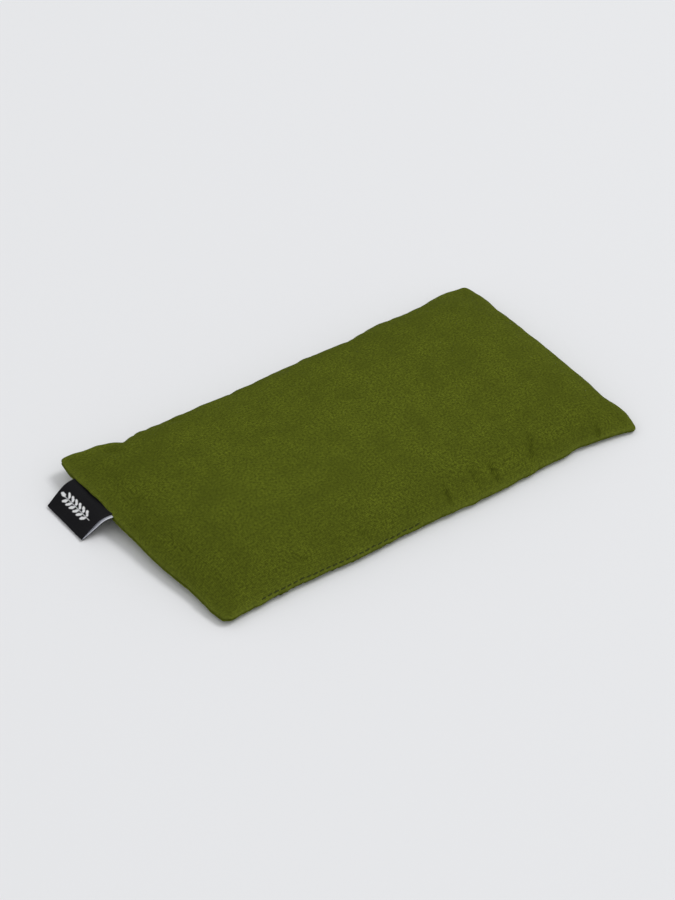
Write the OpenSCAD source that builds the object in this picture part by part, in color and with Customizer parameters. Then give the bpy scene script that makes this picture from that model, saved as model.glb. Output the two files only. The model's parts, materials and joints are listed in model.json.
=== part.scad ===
// Eye pillow: a flat, loosely filled cotton bag that rests on a table with a
// folded woven loop label sewn into one short end.
// Frame: +Z up, X along the bag, Y across it. The origin is the centre of the
// flat underside, on the plane that the pillow rests on.

/* [Cover] */
// Length of the filled cover, seam to seam
cover_length = 200; // [160:1:260]
// Width of the filled cover, seam to seam
cover_width = 116; // [90:1:150]
// Height of the side seam above the resting plane
seam_height = 8; // [6:0.5:12]
// Rise of the upper panel above the side seam
upper_rise = 9; // [6:0.5:16]
// How far the slack lower panel would belly below the seam if nothing held it up
lower_belly = 12; // [10:0.5:16]
// Thickness of the cotton canvas
canvas = 0.6; // [0.4:0.1:0.8]
// Radius of the cover's turned corners
corner_radius = 5; // [3:0.5:8]
// Width of the seam allowance that is turned inside the cover
cover_allowance = 6; // [4:0.5:8]

/* [Inner bag] */
// Thickness of the calico that the inner bag is made of
calico = 0.3; // [0.2:0.05:0.5]
// Width of the inner bag's flat seam allowance, which stays outside it
liner_allowance = 4; // [3:0.5:6]
// Free space between the cover and the inner bag
liner_clearance = 0.5; // [0.3:0.1:1]
// Free space between the inner bag and the filling
filling_clearance = 0.3; // [0.2:0.1:0.6]

/* [Thread] */
// Diameter of the sewing thread
thread = 0.4; // [0.3:0.05:0.5]
// Distance from one stitch to the next
stitch_pitch = 3; // [2.75:0.25:4]
// Thread that shows between two needle holes
stitch_length = 2.2; // [1.4:0.1:2.6]
// Free space under each stitch of the closing row
stitch_lift = 0.05; // [0:0.05:0.2]
// Distance of the closing row from the edge of the cover
closing_inset = 2.4; // [2:0.1:4]
// Distance of the closing row's near end from the label end of the cover
closing_start = 24; // [15:1:60]
// Length of the closing row
closing_length = 75; // [50:1:100]
// Distance of the cover seam's thread from the edge of the cover
seam_thread_inset = 1.2; // [1:0.1:2]
// Length of the inner bag's closing row, centred on its far end
liner_closing_length = 50; // [30:1:60]

/* [Label] */
// Width of the woven ribbon
label_width = 26.5; // [15:0.5:30]
// Length of the folded loop that stands out of the seam
label_reach = 16.5; // [12:0.5:20]
// Thickness of the woven ribbon
ribbon = 0.35; // [0.25:0.05:0.45]
// Distance of the label from the corner of the cover
label_offset = 15; // [8:1:30]
// Straight stretch of the loop where it leaves the seam
label_lead = 2.5; // [2:0.5:4]
// Radius at which the loop bends down to the table
label_bend = 12; // [8:1:16]
// Distance of the bend line outside the edge of the cover
hinge_out = 1; // [1:0.1:1.5]
// Free space around the parts of the label
label_clearance = 0.3; // [0.2:0.1:0.5]

/* [Hidden] */

// The bag's crown: how flat it is in the middle and how round it is at its edges
edge_power = 4;
edge_round = 0.7;

// The sizes of the layers inside the cover, each worked out from the one outside it
liner_inset = cover_allowance + liner_clearance;
liner_length = cover_length - 2 * liner_inset;
liner_width = cover_width - 2 * liner_inset;
bag_length = liner_length - 2 * liner_allowance;
bag_width = liner_width - 2 * liner_allowance;
bag_corner = corner_radius;
fill_length = bag_length - 2 * filling_clearance;
fill_width = bag_width - 2 * filling_clearance;
liner_rise = upper_rise - calico - liner_clearance;
liner_belly = lower_belly * liner_rise / upper_rise;
liner_floor = canvas + liner_clearance;
fill_rise = liner_rise - filling_clearance;
fill_belly = liner_belly - 2 * filling_clearance;
fill_floor = liner_floor + calico + filling_clearance;

// The place of the label
label_far = cover_width / 2 - label_offset;
label_near = label_far - label_width;
hinge_x = -cover_length / 2 - hinge_out;
leg_offset = (thread + ribbon) / 2;
loop_half = thread / 2 + ribbon;
label_lift = 0.35;

// How finely the soft surfaces are drawn
side_steps = 8;
corner_steps = 4;
ring_scales = [1, 0.985, 0.96, 0.92, 0.86, 0.77, 0.64, 0.46, 0.24];
bend_steps = 12;
tip_steps = 8;
round_fn = 24;
big = 2 * (cover_length + cover_width);

// Height of the crown at a point, from 0 at the seams to 1 in the middle
function bulge(u) = pow(max(0, 1 - pow(abs(u), edge_power)), edge_round);
function swell(p, len, wid) = bulge(2 * p.x / len) * bulge(2 * p.y / wid);

// Outline of a rectangle with round corners, run anticlockwise from the right-hand side
function outline(half_l, half_w, r) = [
    for (c = [0:3])
        let (sx = c == 0 || c == 3 ? 1 : -1, sy = c < 2 ? 1 : -1,
             mid = [sx * (half_l - r), sy * (half_w - r)],
             nx = c == 0 ? -1 : c == 1 ? -1 : 1, ny = c == 1 ? -1 : c == 2 ? -1 : 1,
             a1 = 90 * c + 90,
             from = mid + r * [cos(a1), sin(a1)],
             next = [nx * (half_l - r), ny * (half_w - r)] + r * [cos(a1), sin(a1)])
        each concat(
            [for (i = [0:corner_steps]) let (a = 90 * (c + i / corner_steps))
                mid + r * [cos(a), sin(a)]],
            [for (i = [1:side_steps - 1]) from + (next - from) * i / side_steps])];
stations = 4 * (corner_steps + side_steps);

// One ring of a soft surface: the outline scaled by s, each point raised by its crown
function crown_ring(len, wid, r, s, rise, base, low) = [
    for (p = outline(s * len / 2, s * wid / 2, s * r))
        [p.x, p.y, max(low, base + (s == 1 ? 0 : rise * swell(p, len, wid)))]];

// A flat ring, a fixed distance inside the outline
function flat_ring(len, wid, r, inset, z) = [
    for (p = outline(len / 2 - inset, wid / 2 - inset, max(0.5, r - inset)))
        [p.x, p.y, z]];

// A closed skin through a list of rings. The first and last ring close on a point each.
module skin(rings, first_tip, last_tip, flip) {
    n = len(rings);
    points = concat([first_tip], [for (ring = rings) each ring], [last_tip]);
    last = n * stations + 1;
    start = [for (i = [0:stations - 1]) [0, 1 + i, 1 + (i + 1) % stations]];
    walls = [for (k = [0:n - 2]) for (i = [0:stations - 1])
        let (j = (i + 1) % stations, a = 1 + k * stations, b = a + stations)
        each [[a + i, b + i, b + j], [a + i, b + j, a + j]]];
    end = [for (i = [0:stations - 1])
        [last, 1 + (n - 1) * stations + (i + 1) % stations, 1 + (n - 1) * stations + i]];
    faces = concat(start, walls, end);
    polyhedron(points, flip ? [for (f = faces) [f[2], f[1], f[0]]] : faces, convexity = 6);
}

// A sewn panel: the crowned cloth, and its allowance turned in flat behind the edge.
// side is 1 for an upper panel and -1 for a lower one, and the face is the mating plane.
module turned_panel(side, rise, low) {
    face = seam_height + side * thread / 2;
    count = len(ring_scales);
    outer = [for (k = [count - 1:-1:0])
        crown_ring(cover_length, cover_width, corner_radius, ring_scales[k], side * rise,
                   face + side * canvas, -big)];
    fold = [
        flat_ring(cover_length, cover_width, corner_radius, 0, face),
        flat_ring(cover_length, cover_width, corner_radius, cover_allowance, face),
        flat_ring(cover_length, cover_width, corner_radius, cover_allowance, face + side * canvas),
        flat_ring(cover_length, cover_width, corner_radius, 2 * canvas, face + side * canvas)];
    inner = [for (k = [2:count - 1])
        crown_ring(cover_length, cover_width, corner_radius, ring_scales[k], side * rise,
                   face, low)];
    skin(concat(outer, fold, inner),
         [0, 0, face + side * (canvas + rise)],
         [0, 0, max(low, face + side * rise)], side > 0);
}

// A panel of the inner bag, with its flat allowance left standing outside the seam
module flanged_panel(side, rise, low) {
    face = seam_height + side * thread / 2;
    count = len(ring_scales);
    outer = [for (k = [count - 1:-1:1])
        crown_ring(bag_length, bag_width, bag_corner, ring_scales[k], side * rise,
                   face + side * calico, low)];
    flange = [
        flat_ring(bag_length, bag_width, bag_corner, 0, face + side * calico),
        flat_ring(liner_length, liner_width, bag_corner, 0, face + side * calico),
        flat_ring(liner_length, liner_width, bag_corner, 0, face)];
    inner = [for (k = [0:count - 1])
        crown_ring(bag_length, bag_width, bag_corner, ring_scales[k], side * rise,
                   face, low + (side < 0 ? calico : 0))];
    skin(concat(outer, flange, inner),
         [0, 0, max(low, face + side * (calico + rise))],
         [0, 0, max(low + (side < 0 ? calico : 0), face + side * rise)], side > 0);
}

// A closed round of thread that follows a rectangle with round corners
module thread_round(len, wid, r) {
    for (sx = [-1, 1])
        translate([sx * len / 2, wid / 2 - r, seam_height])
            rotate([90, 0, 0])
                cylinder(d = thread, h = wid - 2 * r, $fn = round_fn);
    for (sy = [-1, 1])
        translate([r - len / 2, sy * wid / 2, seam_height])
            rotate([0, 90, 0])
                cylinder(d = thread, h = len - 2 * r, $fn = round_fn);
    for (c = [0:3])
        translate([(c == 0 || c == 3 ? 1 : -1) * (len / 2 - r),
                   (c < 2 ? 1 : -1) * (wid / 2 - r), seam_height])
            rotate([0, 0, 90 * c])
                rotate_extrude(angle = 90, $fn = 4 * round_fn)
                    translate([r, 0])
                        circle(d = thread, $fn = round_fn);
}

// One stitch: a short length of thread with round ends, lying along X
module stitch() {
    bar = stitch_length - thread;
    translate([-bar / 2, 0, 0])
        rotate([0, 90, 0])
            cylinder(d = thread, h = bar, $fn = round_fn);
    for (sx = [-1, 1])
        translate([sx * bar / 2, 0, 0])
            sphere(d = thread, $fn = round_fn);
}

// Height of the cover's outer face over a point. side is 1 for the top and -1 below.
function cover_face(p, side) =
    seam_height + side * (thread / 2 + canvas
        + (side > 0 ? upper_rise : lower_belly) * swell(p, cover_length, cover_width));

module closing_row(side) {
    count = floor(closing_length / stitch_pitch);
    for (i = [0:count - 1]) {
        p = [closing_start - cover_length / 2 + (i + 0.5) * stitch_pitch,
             closing_inset - cover_width / 2];
        translate([p.x, p.y, cover_face(p, side) + side * (thread / 2 + stitch_lift)])
            stitch();
    }
}

module cover_top() {
    color("olive")
        difference() {
            turned_panel(1, upper_rise, -big);
            label_slot();
        }
}

module cover_bottom() {
    color("darkolivegreen")
        difference() {
            turned_panel(-1, lower_belly, canvas);
            label_slot();
            translate([-big / 2, -big / 2, -big])
                cube(big);
        }
}

// The room that the label's two ends take up between the panels
module label_slot() {
    half = loop_half + label_clearance;
    depth = cover_allowance + 1;
    translate([-cover_length / 2 - 1, label_near - label_clearance, seam_height - half])
        cube([depth + 1, label_width + 2 * label_clearance, 2 * half]);
}

module cover_seam_thread() {
    color("olivedrab")
        thread_round(cover_length - 2 * seam_thread_inset, cover_width - 2 * seam_thread_inset,
                     corner_radius - seam_thread_inset);
}

module closing_needle_thread() {
    color("darkslategray")
        closing_row(1);
}

module closing_bobbin_thread() {
    color("darkslategray")
        closing_row(-1);
}

// Both ends of the ribbon, above and below the seam's thread, up to the bend line
module label_ends() {
    start = hinge_x + loop_half + label_clearance;
    color("black")
        for (side = [-1, 1])
            translate([start, label_near, seam_height + side * leg_offset - ribbon / 2])
                cube([cover_allowance - cover_length / 2 - start, label_width, ribbon]);
}

// Drop of the loop's tip when its bend turns through an angle
function tip_drop(a) =
    label_bend * (1 - cos(a))
    + (label_reach - label_lead - label_bend * a * PI / 180) * sin(a);

// The angle whose drop brings the tip down to the table, found by halving
function droop_angle(lo, hi, steps) =
    let (mid = (lo + hi) / 2)
    steps == 0 ? mid
    : tip_drop(mid) < seam_height - loop_half - label_lift
        ? droop_angle(mid, hi, steps - 1)
        : droop_angle(lo, mid, steps - 1);
most_droop = min(60, 0.95 * (label_reach - label_lead) / label_bend * 180 / PI);
droop = droop_angle(0, most_droop, 20);

// Middle line of the loop from the bend line outwards, as [out, up, angle of travel]
function loop_line() =
    let (straight = label_reach - label_lead - label_bend * droop * PI / 180)
    concat(
        [[0, 0, 0]],
        [for (i = [0:bend_steps]) let (a = droop * i / bend_steps)
            [label_lead + label_bend * sin(a), -label_bend * (1 - cos(a)), a]],
        [[label_lead + label_bend * sin(droop) + straight * cos(droop),
          -tip_drop(droop), droop]]);

// The line moved sideways by a distance, above it where the distance is positive
function beside(line, d) = [for (p = line) [p[0] + d * sin(p[2]), p[1] + d * cos(p[2])]];

// Half a turn around the tip of the line, from above it to below it
function tip_arc(line, r) =
    let (tip = line[len(line) - 1])
    [for (i = [1:tip_steps - 1]) let (a = 90 - tip[2] - 180 * i / tip_steps)
        [tip[0] + r * cos(a), tip[1] + r * sin(a)]];

function backwards(list) = [for (i = [len(list) - 1:-1:0]) list[i]];

// The hairpin outline of the folded ribbon, seen along the bend line
function hairpin(line) =
    let (out = concat(beside(line, loop_half), tip_arc(line, loop_half),
                      backwards(beside(line, -loop_half))),
         in = concat(beside(line, thread / 2), tip_arc(line, thread / 2),
                     backwards(beside(line, -thread / 2))))
    concat(out, backwards(in));

module label_loop() {
    color("black")
        translate([hinge_x, label_far, seam_height])
            rotate([90, 0, 0])
                linear_extrude(label_width)
                    polygon([for (p = hairpin(loop_line())) [-p[0], p[1]]]);
}

module liner_top() {
    color("beige")
        flanged_panel(1, liner_rise, -big);
}

module liner_bottom() {
    color("wheat")
        flanged_panel(-1, liner_belly, liner_floor);
}

module liner_seam_thread() {
    color("ivory")
        thread_round(bag_length + liner_allowance / 2, bag_width + liner_allowance / 2, bag_corner);
}

// The stitches that shut the inner bag, through its allowance at the end away from the label
module liner_closing_thread() {
    count = floor(liner_closing_length / stitch_pitch);
    color("ivory")
        for (side = [-1, 1])
            for (i = [0:count - 1])
                translate([(liner_length - liner_allowance) / 2 + thread,
                           (i + 0.5) * stitch_pitch - count * stitch_pitch / 2,
                           seam_height + side * (thread + calico)])
                    rotate([0, 0, 90])
                        stitch();
}

// The loose grain, as the one closed shape that it takes inside its bag
module filling() {
    base = [for (k = [len(ring_scales) - 1:-1:1])
        crown_ring(fill_length, fill_width, bag_corner, ring_scales[k], fill_rise,
                   seam_height + thread / 2, -big)];
    under = [for (k = [0:len(ring_scales) - 1])
        crown_ring(fill_length, fill_width, bag_corner, ring_scales[k], -fill_belly,
                   seam_height - thread / 2, fill_floor)];
    edge = [flat_ring(fill_length, fill_width, bag_corner, 0, seam_height + thread / 2)];
    color("saddlebrown")
        skin(concat(base, edge, under),
             [0, 0, seam_height + thread / 2 + fill_rise],
             [0, 0, fill_floor], true);
}

cover_top();
cover_bottom();
cover_seam_thread();
closing_needle_thread();
closing_bobbin_thread();
label_ends();
label_loop();
liner_top();
liner_bottom();
liner_seam_thread();
liner_closing_thread();
filling();
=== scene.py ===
import json
import math

import bpy
import numpy as np
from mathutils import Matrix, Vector


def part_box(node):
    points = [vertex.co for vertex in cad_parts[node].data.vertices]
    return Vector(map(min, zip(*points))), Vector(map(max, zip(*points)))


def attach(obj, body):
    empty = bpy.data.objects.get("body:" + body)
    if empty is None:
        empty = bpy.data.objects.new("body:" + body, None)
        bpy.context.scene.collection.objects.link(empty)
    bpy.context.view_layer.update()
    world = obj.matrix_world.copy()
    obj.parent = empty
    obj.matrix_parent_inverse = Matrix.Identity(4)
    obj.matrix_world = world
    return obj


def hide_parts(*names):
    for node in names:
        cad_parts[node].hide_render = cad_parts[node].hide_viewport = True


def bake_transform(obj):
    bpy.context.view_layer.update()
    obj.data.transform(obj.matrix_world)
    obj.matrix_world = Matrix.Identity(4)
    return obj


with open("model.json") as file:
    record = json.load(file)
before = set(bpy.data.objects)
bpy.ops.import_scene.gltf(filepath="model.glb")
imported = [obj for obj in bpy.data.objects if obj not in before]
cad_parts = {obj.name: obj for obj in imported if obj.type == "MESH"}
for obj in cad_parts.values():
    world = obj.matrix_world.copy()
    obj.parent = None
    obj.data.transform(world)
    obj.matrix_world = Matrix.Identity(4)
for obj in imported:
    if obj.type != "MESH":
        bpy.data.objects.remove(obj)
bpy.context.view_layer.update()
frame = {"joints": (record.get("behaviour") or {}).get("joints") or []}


# --------------------------------------------
# The table, the light and the camera: a pale matt table top in a white room, with one broad
# soft lamp high on the near right. The camera looks down over the near left corner.

MM = 0.001
scene = bpy.context.scene
scene.view_settings.view_transform = "Standard"


def table_top():
    """A flat square, its corners at plus and minus its half size."""
    half = 2.0
    mesh = bpy.data.meshes.new("table_top")
    mesh.from_pydata([(-half, -half, 0), (half, -half, 0), (half, half, 0), (-half, half, 0)],
                     [], [(0, 1, 2, 3)])
    table = bpy.data.objects.new("table_top", mesh)
    scene.collection.objects.link(table)
    paint = bpy.data.materials.new("table_paint")
    paint.use_nodes = True
    shader = paint.node_tree.nodes["Principled BSDF"]
    shader.inputs["Base Color"].default_value = (0.80, 0.808, 0.827, 1)
    shader.inputs["Roughness"].default_value = 0.95
    shader.inputs["Specular IOR Level"].default_value = 0.1
    mesh.materials.append(paint)


def stand(name, data, aim, direction, distance):
    """Puts a lamp or a camera at a distance from a point, in a direction, and facing it."""
    holder = bpy.data.objects.new(name, data)
    scene.collection.objects.link(holder)
    holder.location = Vector(aim) + direction * distance
    holder.rotation_euler = direction.to_track_quat("Z", "Y").to_euler()
    return holder


def lamp(name, towards, distance, size, power):
    """A square lamp in a direction from the pillow."""
    light = bpy.data.lights.new(name, "AREA")
    light.size = size
    light.energy = power
    stand(name, light, (0, 0, 0), Vector(towards).normalized(), distance)


def room(brightness):
    """A white room that lights the pillow evenly from all round."""
    world = bpy.data.worlds.new("room")
    scene.world = world
    world.use_nodes = True
    sky = world.node_tree.nodes["Background"]
    sky.inputs["Color"].default_value = (1.0, 1.0, 1.0, 1)
    sky.inputs["Strength"].default_value = brightness


def camera(aim, azimuth, elevation, distance, lens):
    """A camera that looks at a point from an azimuth and an elevation, in degrees."""
    a, e = math.radians(azimuth), math.radians(elevation)
    back = Vector((math.sin(a) * math.cos(e), -math.cos(a) * math.cos(e), math.sin(e)))
    data = bpy.data.cameras.new("camera")
    data.lens = lens
    data.sensor_width = 36
    scene.camera = stand("camera", data, aim, back, distance)


table_top()
room(brightness=0.72)
lamp("window", towards=(0.62, -0.22, 1.0), distance=6.0, size=2.2, power=121)
camera(aim=(-2.2 * MM, 5.6 * MM, 0), azimuth=-35.4, elevation=39.5, distance=1.429, lens=144)


# --------------------------------------------
# The canvas cover: two panels of olive plain-weave cotton, cut flat, sewn face to face
# round all four sides and turned right side out, so the allowances lie inside. It is
# filled through a gap in the front side, which a row of edge stitches then shuts.

# The canvas's thickness at its pressed edge, the gap between the panels along the seam, and how
# far an outer face stands off the seam sheet: half the gap, the allowance and the panel itself.
canvas_thick = 0.38 * MM
seam_gap = 0.12 * MM
edge_lift = seam_gap / 2 + 2 * canvas_thick
# A panel between its seam lines, laid flat, and the plain rectangle that it fills out to.
cut_length, cut_width = 205 * MM, 121 * MM
middle_x, half_length, half_width = 1.0 * MM, 98 * MM, 56.9 * MM
full_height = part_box("cover_top")[1].z - edge_lift
# The label flexes about a line through this point.
_, hinge_y, hinge_z = frame["joints"][0]["pos_m"]


def hump(t, at, width):
    """A bell of height 1 around a place: e to the minus square of the distance in widths."""
    return np.exp(-(((t - at) / width) ** 2))


def between(old, new):
    """The weights that carry values at evenly spaced old places to new ones, along a smooth
    cubic curve through them all that runs straight on past both ends."""
    step = (new - old[0]) / (old[1] - old[0])
    k = np.clip(np.floor(step).astype(int), 0, len(old) - 2)
    t = (step - k)[:, None]
    share = np.concatenate([-t + 2 * t**2 - t**3, 2 - 5 * t**2 + 3 * t**3,
                            t + 4 * t**2 - 3 * t**3, t**3 - t**2], 1) / 2
    weights = np.zeros((len(new), len(old) + 2))
    for i in range(4):
        weights[np.arange(len(new)), k + i] += share[:, i]
    weights[:, 1] += 2 * weights[:, 0]
    weights[:, 2] -= weights[:, 0]
    weights[:, -2] += 2 * weights[:, -1]
    weights[:, -3] -= weights[:, -1]
    return weights[:, 1:-1]


def drawn(t, values):
    """A smooth line through values in millimetres, evenly spaced from -1 to 1."""
    weights = between(np.linspace(-1, 1, len(values)), t.ravel())
    return (weights @ np.array(values)).reshape(t.shape) * MM


def corner_round(x, y, radius):
    """Square corners drawn in to round ones: each point of the corner square slides along its
    ray from the corner's centre, until the square's rim lies on the arc."""
    dx, dy = np.abs(x) - (half_length - radius), np.abs(y) - (half_width - radius)
    inside = (dx > 0) & (dy > 0)
    shrink = np.where(inside, np.maximum(dx, dy) / np.maximum(np.hypot(dx, dy), 1e-12), 1)
    x = np.where(inside, np.sign(x) * (half_length - radius + dx * shrink), x)
    y = np.where(inside, np.sign(y) * (half_width - radius + dy * shrink), y)
    return x, y


# How far each side stands out past the plain rectangle, in millimetres, at even steps along it:
# from the front to the back on the ends, and from the label's end to the other on the sides.
left_out = (-0.2, 1.3, 1.6, 3.0, 3.8, 4.1, 4.7, 4.3, 4.6, 4.5, 2.9)
right_out = (2.3, 4.4, 2.9, 3.4, 3.1, 3.2, 2.7, 2.6, 2.2, 2.3, 0.7)
front_out = (-0.7, -1.8, -2.3, -2.1, -1.7, -2.5, -2.7, -2.4, -2.5, -3.6, -4.4, -4.4, -2.1)
back_out = (-0.6, -1.6, -3.6, -4.0, -4.3, -4.4, -3.1, -2.5, -3.1, -0.7, -1.3, 0.6, 0.4)


def seam_sheet(u, v):
    """The sheet that the seams span. u and v run from -1 to 1 along and across it. A rectangle,
    rounded a little at its corners, whose sides are drawn in or out where the cloth pulls, with
    a nick in the front one and a deeper nick in the back one. Its height blends the heights of
    the four corners with a lift along both ends, and the near right tip droops."""
    radius = np.where(v < 0, np.where(u < 0, 4.0, 1.0), np.where(u < 0, 2.0, 1.4)) * MM
    x, y = corner_round(u * half_length, v * half_width, radius)
    left, right = ((1 - u) / 2) ** 3, ((1 + u) / 2) ** 3
    front, rear = ((1 - v) / 2) ** 3, ((1 + v) / 2) ** 3
    x = middle_x + x - left * drawn(v, left_out) + right * drawn(v, right_out)
    y = y - front * drawn(u, front_out) + rear * drawn(u, back_out)
    y = y + MM * (front * hump(u, 0.745, 0.045) - rear * 2.7 * hump(u, -0.745, 0.05))
    far_left, far_right, near_right, near_left = 6.6, 4.4, 2.0, 2.6
    corners = (far_left * (1 - u) * (1 + v) + far_right * (1 + u) * (1 + v)
               + near_right * (1 + u) * (1 - v) + near_left * (1 - u) * (1 - v)) / 4
    lift = (1 - u) * hump(v, 0.5, 0.42) + 0.6 * (1 + u) * (1 - v**2)
    tip = np.exp(-(half_width * (1 + v) + half_length * (1 - u)) / (4 * MM))
    return x, y, (corners + lift - 0.9 * tip) * MM


def swelling(u, v, reach):
    """How far the filling pushes the cloth out, 0 at the seams to 1 inside: for each side, 1
    less e to the minus power 1.25 of the distance from it in reaches, multiplied together."""
    along = 1 - np.exp(-((half_length * (1 - np.abs(u)) / reach) ** 1.25))
    across = 1 - np.exp(-((half_width * (1 - np.abs(v)) / reach) ** 1.25))
    return along * across


def wander(t, spacing, seed):
    """A smooth random line from -1 to 1: a random value at every spacing, joined by cosines."""
    knots = np.random.default_rng(seed).uniform(-1, 1, 600)
    reached = t / spacing + len(knots) // 2
    k = np.floor(reached).astype(int)
    ease = (1 - np.cos(np.pi * (reached - k))) / 2
    return knots[k] * (1 - ease) + knots[k + 1] * ease


def lumps(x, y, spacing, seed):
    """Soft random lumps: four wandering lines laid over each other in different directions."""
    turns = np.radians([12, 57, 101, 148])
    lines = [wander(x * np.cos(a) + y * np.sin(a), spacing, seed + i)
             for i, a in enumerate(turns)]
    return sum(lines) / 2


def filled_shape(u, v):
    """The bag as the loose grain shapes it. The upper face rises from the seam sheet to a
    gently uneven top, slack in the far left corner. The lower one sinks from the sheet and
    levels out on the table, by half the sum of the height left and its hypotenuse with 0.6 mm."""
    x, y, z = seam_sheet(u, v)
    slack = 12 * MM + 7 * MM * hump(u, -1, 0.22) * hump(v, 1, 0.5)
    swell = swelling(u, v, slack)
    rise = (full_height - z) * swell * (1 - 0.13 * (u - 0.15)**2 - 0.05 * v**2)
    uneven = 0.40 * lumps(x, y, 34 * MM, 3) + 0.12 * lumps(x, y, 13 * MM, 17)
    top = z + rise + swell * MM * uneven
    sunk = z - 1.3 * (z - edge_lift) * swelling(u, v, 7.5 * MM)
    above = sunk - edge_lift
    flat = edge_lift + 0.5 * (above + np.hypot(above, 0.6 * MM)) - 0.3 * MM
    bottom = np.where(swell > 0, np.maximum(flat, edge_lift), z)
    return np.stack([x, y, top], -1), np.stack([x, y, bottom], -1)


def quads(index):
    """The four-sided faces of a grid of point numbers, facing up."""
    corners = [index[:-1, :-1], index[1:, :-1], index[1:, 1:], index[:-1, 1:]]
    return np.stack(corners, -1).reshape(-1, 4)


def joined_grids(shape):
    """Two grids that share their outer points, as one closed form. Gives both grids' point
    numbers, where the lower one has points of its own, and the faces, all facing outwards."""
    count = shape[0] * shape[1]
    inner = np.zeros(shape, bool)
    inner[1:-1, 1:-1] = True
    upper = np.arange(count).reshape(shape)
    lower = upper.copy()
    lower[inner] = count + np.arange(inner.sum())
    return upper, lower, inner, np.concatenate([quads(upper), quads(lower)[:, ::-1]])


def settle(u, v, top, bottom):
    """Lets real cloth find its folds. Both panels are one closed mesh, joined along the seam,
    whose springs have their length in the flat cut, so the cloth that is spare in the filled
    shape buckles along the seams. The filling pushes it out, and it is held to that shape, most
    loosely beside the seam. The solver works on a larger copy, and corners stay still."""
    scale, frames, most = 10.0, 24, 4 * MM
    upper, lower, inner, faces = joined_grids(u.shape)
    start = np.concatenate([top.reshape(-1, 3), bottom[inner]])
    cut = np.stack([u * cut_length / 2, v * cut_width / 2, 0 * u], -1)
    cut = np.concatenate([cut.reshape(-1, 3), cut[inner] - (0, 0, MM)])
    mesh = bpy.data.meshes.new("settling")
    mesh.from_pydata((start * scale).tolist(), [], faces.tolist())
    bag = bpy.data.objects.new("settling", mesh)
    scene.collection.objects.link(bag)
    bag.shape_key_add(name="filled")
    flat = bag.shape_key_add(name="flat")
    flat.data.foreach_set("co", (cut * scale).astype(np.float32).ravel())
    from_seam = np.minimum(half_length * (1 - np.abs(u)), half_width * (1 - np.abs(v)))
    from_seam = np.concatenate([from_seam.ravel(), from_seam[inner]])
    hold = 0.03 + 0.4 * np.clip((from_seam - 6 * MM) / (26 * MM), 0, 1)
    hold[from_seam < 0.1 * MM] = 0.35
    group = bag.vertex_groups.new(name="hold")
    for share in np.unique(hold.round(3)):
        group.add(np.flatnonzero(hold.round(3) == share).tolist(), float(share), "REPLACE")
    cloth_sim = bag.modifiers.new("cloth", "CLOTH")
    springs = cloth_sim.settings
    springs.quality = 6
    springs.mass = 0.3
    springs.tension_stiffness = springs.compression_stiffness = 40
    springs.shear_stiffness = 15
    springs.bending_stiffness = 0.15
    springs.tension_damping = springs.compression_damping = springs.shear_damping = 15
    springs.bending_damping = 1
    springs.air_damping = 5
    springs.vertex_group_mass = "hold"
    springs.pin_stiffness = 1
    springs.rest_shape_key = flat
    springs.use_pressure = True
    springs.uniform_pressure_force = 1.2
    springs.effector_weights.gravity = 0
    cloth_sim.collision_settings.use_collision = False
    for step in range(1, frames + 1):
        scene.frame_set(step)
    relaxed = bag.evaluated_get(bpy.context.evaluated_depsgraph_get()).data
    shift = np.zeros(len(start) * 3)
    relaxed.vertices.foreach_get("co", shift)
    shift = shift.reshape(-1, 3) / scale - start
    shift *= np.minimum(1, most / np.maximum(np.linalg.norm(shift, axis=1), 1e-9))[:, None]
    to_corner = half_length * (1 - np.abs(u)) + half_width * (1 - np.abs(v))
    to_corner = np.concatenate([to_corner.ravel(), to_corner[inner]])
    shift *= 1 - hump(to_corner, 0, 7 * MM)[:, None]
    scene.frame_set(1)
    bpy.data.objects.remove(bag)
    settled = start + shift
    return settled[upper.ravel()].reshape(top.shape), settled[lower.ravel()].reshape(top.shape)


def finer(grid, u_old, v_old, u_new, v_new):
    """A grid of points drawn again on closer lines."""
    return np.einsum("ai,ijk,bj->abk", between(u_old, u_new), grid, between(v_old, v_new))


def seam_lines(half, step):
    """Places from -1 to 1, even steps apart but for a run at each end that starts small: the
    distance from the seam is the count of steps, less up to 6.6 of them as it settles."""
    count = np.arange(600)
    apart = step * (count - 6.6 * (1 - np.exp(-count / 7)))
    middle = np.searchsorted(apart, half)
    apart = apart[:middle + 1] / apart[middle]
    return np.concatenate([apart - 1, 1 - apart[-2::-1]])


coarse_u, coarse_v = np.linspace(-1, 1, 133), np.linspace(-1, 1, 79)
grid_u, grid_v = np.meshgrid(coarse_u, coarse_v, indexing="ij")
bag_top, bag_bottom = filled_shape(grid_u, grid_v)
bag_top, bag_bottom = settle(grid_u, grid_v, bag_top, bag_bottom)
line_u, line_v = seam_lines(half_length, 0.82 * MM), seam_lines(half_width, 0.82 * MM)
fine_u, fine_v = np.meshgrid(line_u, line_v, indexing="ij")
from_end = half_length * (1 - np.abs(fine_u))
from_side = half_width * (1 - np.abs(fine_v))
from_seam = np.minimum(from_end, from_side)

# The closing row: where it starts and ends along the front side, how far in from the edge it
# runs, and the length of a stitch.
closing_from, closing_to, closing_inset, stitch_pitch = -80 * MM, -5 * MM, 0.95 * MM, 3.0 * MM


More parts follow.
